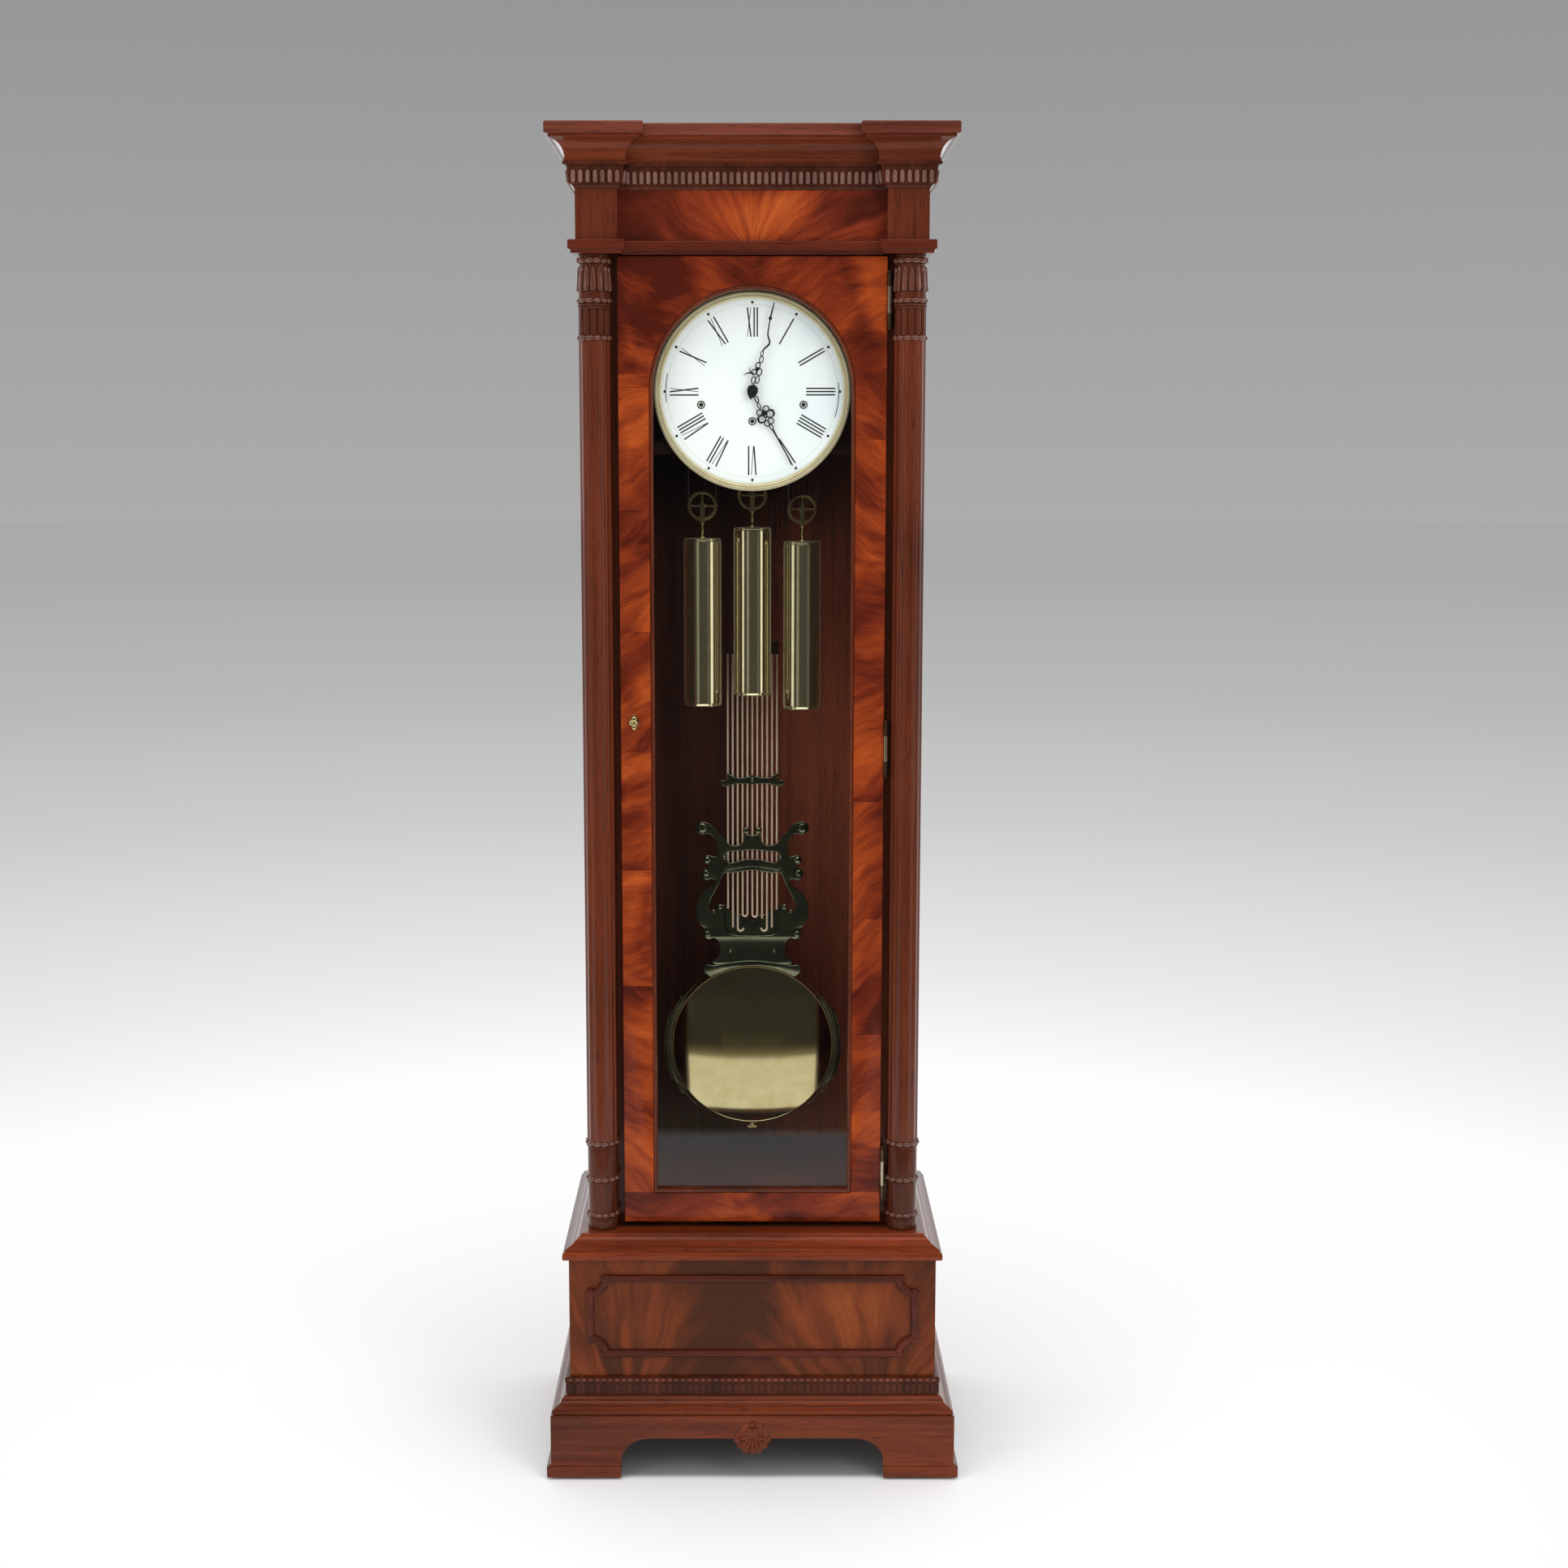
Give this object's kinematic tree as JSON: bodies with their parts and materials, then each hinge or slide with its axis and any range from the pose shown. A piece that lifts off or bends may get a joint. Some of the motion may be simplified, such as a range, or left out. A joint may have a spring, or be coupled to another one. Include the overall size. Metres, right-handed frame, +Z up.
{
  "type": "longcase clock",
  "caption": "Tall mahogany case clock with broken cornice, corner columns, arched glass door, round white dial, brass weights and lyre pendulum.",
  "frame": {"origin": "middle of the footprint, on the floor under the foot glides", "axes": "+Z up; the dial and door face -Y; +X is to the right as seen from the front"},
  "size_m": [0.656, 0.427, 2.108],
  "materials": {
    "mahogany": "red-brown mahogany under a gloss lacquer",
    "mahogany_flame": "crotch-figured mahogany veneer under a gloss lacquer",
    "mahogany_dark": "carved and turned mahogany, darker, with dark glaze in the hollows",
    "case_interior": "dark stained boards, low sheen",
    "brass_polished": "polished and lacquered",
    "brass_satin": "satin, lightly aged",
    "dark_bronze": "darkened collars",
    "dial_white": "white enamel with black printing",
    "hand_black": "black, satin",
    "clear_glass": "clear, flat",
    "steel": "drawn steel",
    "steel_cable": "stranded steel cable",
    "cast_iron": "painted casting",
    "glide_plastic": "dark glide pads"
  },
  "bodies": {
    "case": {"glides": "glide_plastic", "foot_frame": "case_interior", "front_bracket": "mahogany", "side_brackets": "mahogany", "shell_ornament": "mahogany_dark", "base_moulding": "mahogany", "carved_band": "mahogany_dark", "base_front": "mahogany_flame", "base_sides": "mahogany_flame", "panel_moulding": "mahogany", "waist_moulding": "mahogany", "floor_boards": "case_interior", "back_boards": "case_interior", "trunk_sides": "mahogany_flame", "face_frame": "mahogany", "column_bases": "mahogany_dark", "column_shafts": "mahogany_dark", "column_capitals": "mahogany_dark", "architrave": "mahogany", "frieze": "mahogany_flame", "tongue_band": "mahogany_dark", "cornice_cove": "mahogany", "cornice_slab": "mahogany", "top_board": "case_interior", "seat_board": "case_interior", "movement_frame": "brass_satin", "dial": "dial_white", "bezel": "brass_polished", "winding_grommets": "dark_bronze", "chime_block": "cast_iron", "chime_rods": "steel", "case_hinges": "brass_polished", "left_cable": "steel_cable", "centre_cable": "steel_cable", "right_cable": "steel_cable", "cable_leads": "steel_cable"},
    "door": {"door_frame": "mahogany_flame", "door_glass": "clear_glass", "glass_beads": "mahogany", "door_hinges": "brass_polished", "escutcheon": "brass_polished"},
    "knob": {"door_knob": "brass_polished"},
    "minute": {"minute_hand": "hand_black"},
    "hour": {"hour_hand": "hand_black"},
    "left_weight": {"left_weight": "brass_polished"},
    "centre_weight": {"centre_weight": "brass_polished"},
    "right_weight": {"right_weight": "brass_polished"},
    "left_pulley": {"left_pulley": "brass_satin"},
    "centre_pulley": {"centre_pulley": "brass_satin"},
    "right_pulley": {"right_pulley": "brass_satin"},
    "left_drum": {"left_drum": "brass_satin"},
    "centre_drum": {"centre_drum": "brass_satin"},
    "right_drum": {"right_drum": "brass_satin"},
    "pendulum": {"suspension_spring": "steel", "pendulum_rods": "brass_polished", "lyre": "brass_satin", "bob": "brass_polished"},
    "crutch": {"crutch": "steel"},
    "rating_nut": {"rating_nut": "brass_polished"},
    "hammers": {"chime_hammers": "steel"}
  },
  "joints": [
    {"name": "door_swing", "type": "hinge", "parent": "case", "child": "door", "pos_m": [0.208, -0.1315, 1.17], "axis": [0, 0, 1], "range_deg": [0, 100]},
    {"name": "knob_turn", "type": "hinge", "parent": "door", "child": "knob", "pos_m": [-0.184, -0.129, 1.208], "axis": [0, 1, 0], "range_deg": [0, 90]},
    {"name": "minute_turn", "type": "hinge", "parent": "case", "child": "minute", "pos_m": [0, -0.1015, 1.717], "axis": [0, 1, 0], "continuous": true},
    {"name": "hour_turn", "type": "hinge", "parent": "case", "child": "hour", "pos_m": [0, -0.097, 1.717], "axis": [0, 1, 0], "continuous": true},
    {"name": "left_weight_drop", "type": "slide", "parent": "case", "child": "left_weight", "axis": [0, 0, -1], "range_m": [-0.03, 0.65], "deforming": ["left_cable"]},
    {"name": "centre_weight_drop", "type": "slide", "parent": "case", "child": "centre_weight", "axis": [0, 0, -1], "range_m": [-0.03, 0.65], "deforming": ["centre_cable"]},
    {"name": "right_weight_drop", "type": "slide", "parent": "case", "child": "right_weight", "axis": [0, 0, -1], "range_m": [-0.03, 0.65], "deforming": ["right_cable"]},
    {"name": "left_pulley_turn", "type": "hinge", "parent": "left_weight", "child": "left_pulley", "pos_m": [-0.079, -0.035, 1.541], "axis": [0, -1, 0], "range_deg": [-81, 1736]},
    {"name": "centre_pulley_turn", "type": "hinge", "parent": "centre_weight", "child": "centre_pulley", "pos_m": [0, -0.035, 1.558], "axis": [0, -1, 0], "range_deg": [-81, 1736]},
    {"name": "right_pulley_turn", "type": "hinge", "parent": "right_weight", "child": "right_pulley", "pos_m": [0.079, -0.035, 1.536], "axis": [0, -1, 0], "range_deg": [-81, 1736]},
    {"name": "left_drum_turn", "type": "hinge", "parent": "case", "child": "left_drum", "pos_m": [-0.079, -0.035, 1.697], "axis": [0, -1, 0], "range_deg": [-162, 3468]},
    {"name": "centre_drum_turn", "type": "hinge", "parent": "case", "child": "centre_drum", "pos_m": [0, -0.035, 1.672], "axis": [0, -1, 0], "range_deg": [-162, 3468]},
    {"name": "right_drum_turn", "type": "hinge", "parent": "case", "child": "right_drum", "pos_m": [0.079, -0.035, 1.697], "axis": [0, -1, 0], "range_deg": [-162, 3468]},
    {"name": "pendulum_swing", "type": "hinge", "parent": "case", "child": "pendulum", "pos_m": [0, 0.0198, 1.785], "axis": [0, 1, 0], "range_deg": [-3, 3]},
    {"name": "crutch_swing", "type": "hinge", "parent": "case", "child": "crutch", "pos_m": [0, 0.0198, 1.785], "axis": [0, 1, 0], "range_deg": [-3.2, 3.2]},
    {"name": "rating_nut_turn", "type": "hinge", "parent": "pendulum", "child": "rating_nut", "pos_m": [0, 0.0198, 0.515], "axis": [0, 0, 1], "continuous": true},
    {"name": "hammer_lift", "type": "hinge", "parent": "case", "child": "hammers", "pos_m": [0.058, 0.03, 1.69], "axis": [1, 0, 0], "range_deg": [-4, 12], "stiffness_Nm_per_rad": 6}
  ],
  "couplings": [
    {"joint": "hour_turn", "follows": "minute_turn", "ratio": 0.083333},
    {"joint": "left_pulley_turn", "follows": "left_weight_drop", "rad_per_m": 46.512},
    {"joint": "centre_pulley_turn", "follows": "centre_weight_drop", "rad_per_m": 46.512},
    {"joint": "right_pulley_turn", "follows": "right_weight_drop", "rad_per_m": 46.512},
    {"joint": "left_drum_turn", "follows": "left_weight_drop", "rad_per_m": 93.023},
    {"joint": "centre_drum_turn", "follows": "centre_weight_drop", "rad_per_m": 93.023},
    {"joint": "right_drum_turn", "follows": "right_weight_drop", "rad_per_m": 93.023},
    {"joint": "crutch_swing", "follows": "pendulum_swing", "ratio": 1}
  ]
}
